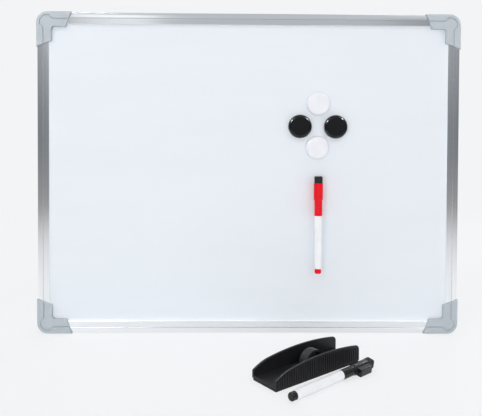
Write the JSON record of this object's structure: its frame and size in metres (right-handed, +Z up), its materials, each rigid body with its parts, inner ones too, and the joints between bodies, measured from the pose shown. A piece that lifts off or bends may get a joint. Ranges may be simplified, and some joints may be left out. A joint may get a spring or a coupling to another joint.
{
  "type": "magnetic whiteboard",
  "caption": "Small aluminium-framed magnetic whiteboard with moulded corners, round magnets, capped markers with magnetic caps, and a ribbed tray eraser.",
  "frame": {"origin": "middle of the board on the wall plane, at the centre of the four wall-screw holes", "axes": "+Z up, +X right along the board, +Y into the wall, so the writing face looks along -Y"},
  "size_m": [0.6, 0.2283, 0.456],
  "materials": {
    "white_lacquer": "gloss",
    "core_card": "matte",
    "back_aluminium": "satin",
    "rail_aluminium": "satin",
    "corner_plastic": "satin",
    "screw_steel": "satin",
    "white_gloss": "gloss",
    "black_gloss": "gloss",
    "red_gloss": "gloss",
    "ferrite": "matte",
    "black_felt": "matte",
    "barrel_white": "gloss",
    "holder_plastic": "satin",
    "red_fibre": "matte",
    "black_fibre": "matte",
    "eraser_plastic": "satin",
    "arch_plastic": "satin"
  },
  "bodies": {
    "board": {"face_sheet": "white_lacquer", "core_board": "core_card", "back_sheet": "back_aluminium", "rail_bottom": "rail_aluminium", "rail_right": "rail_aluminium", "rail_top": "rail_aluminium", "rail_left": "rail_aluminium", "corner_bottom_left": "corner_plastic", "corner_bottom_right": "corner_plastic", "corner_top_right": "corner_plastic", "corner_top_left": "corner_plastic", "rail_screws": "screw_steel"},
    "bottom_left_cover": {"cover_bottom_left": "corner_plastic"},
    "bottom_right_cover": {"cover_bottom_right": "corner_plastic"},
    "top_right_cover": {"cover_top_right": "corner_plastic"},
    "top_left_cover": {"cover_top_left": "corner_plastic"},
    "white_magnet_top": {"white_magnet_top_cap": "white_gloss", "white_magnet_top_disc": "ferrite"},
    "black_magnet_left": {"black_magnet_left_cap": "black_gloss", "black_magnet_left_disc": "ferrite"},
    "black_magnet_right": {"black_magnet_right_cap": "black_gloss", "black_magnet_right_disc": "ferrite"},
    "white_magnet_low": {"white_magnet_low_cap": "white_gloss", "white_magnet_low_disc": "ferrite"},
    "red_cap": {"red_marker_cap": "red_gloss", "red_marker_cap_magnet": "ferrite", "red_marker_pad": "black_felt"},
    "red_pen": {"red_marker_barrel": "barrel_white", "red_marker_tail_plug": "red_gloss", "red_marker_nib_holder": "holder_plastic", "red_marker_nib": "red_fibre", "red_marker_reservoir": "red_fibre"},
    "black_pen": {"black_marker_barrel": "barrel_white", "black_marker_tail_plug": "black_gloss", "black_marker_nib_holder": "holder_plastic", "black_marker_nib": "black_fibre", "black_marker_reservoir": "black_fibre"},
    "black_cap": {"black_marker_cap": "black_gloss", "black_marker_cap_magnet": "ferrite", "black_marker_pad": "black_felt"},
    "eraser": {"eraser_body": "eraser_plastic", "eraser_felt": "black_felt", "eraser_arch": "arch_plastic", "eraser_magnets": "ferrite"}
  },
  "joints": [
    {"name": "bottom_left_cover_pull", "type": "slide", "parent": "board", "child": "bottom_left_cover", "axis": [0, -1, 0], "range_m": [0, 0.03]},
    {"name": "bottom_right_cover_pull", "type": "slide", "parent": "board", "child": "bottom_right_cover", "axis": [0, -1, 0], "range_m": [0, 0.03]},
    {"name": "top_right_cover_pull", "type": "slide", "parent": "board", "child": "top_right_cover", "axis": [0, -1, 0], "range_m": [0, 0.03]},
    {"name": "top_left_cover_pull", "type": "slide", "parent": "board", "child": "top_left_cover", "axis": [0, -1, 0], "range_m": [0, 0.03]},
    {"name": "white_magnet_top_slide", "type": "slide", "parent": "board", "child": "white_magnet_top", "axis": [0, 0, 1], "range_m": [0, 0.093]},
    {"name": "black_magnet_left_slide", "type": "slide", "parent": "board", "child": "black_magnet_left", "axis": [1, 0, 0], "range_m": [-0.338, 0]},
    {"name": "black_magnet_right_slide", "type": "slide", "parent": "board", "child": "black_magnet_right", "axis": [1, 0, 0], "range_m": [0, 0.142]},
    {"name": "white_magnet_low_slide", "type": "slide", "parent": "board", "child": "white_magnet_low", "axis": [0, 0, 1], "range_m": [-0.022, 0]},
    {"name": "red_marker_slide", "type": "slide", "parent": "board", "child": "red_cap", "axis": [1, 0, 0], "range_m": [-0.374, 0.177]},
    {"name": "red_pen_pull", "type": "slide", "parent": "red_cap", "child": "red_pen", "axis": [0, 0, -1], "range_m": [0, 0.045]},
    {"name": "black_marker_lift", "type": "slide", "parent": "board", "child": "black_pen", "axis": [0, 0, 1], "range_m": [0, 0.1]},
    {"name": "black_cap_pull", "type": "slide", "parent": "black_pen", "child": "black_cap", "axis": [0.7547, 0.6561, 0], "range_m": [0, 0.045]},
    {"name": "eraser_lift", "type": "slide", "parent": "board", "child": "eraser", "axis": [0, 0, 1], "range_m": [0, 0.12]}
  ]
}
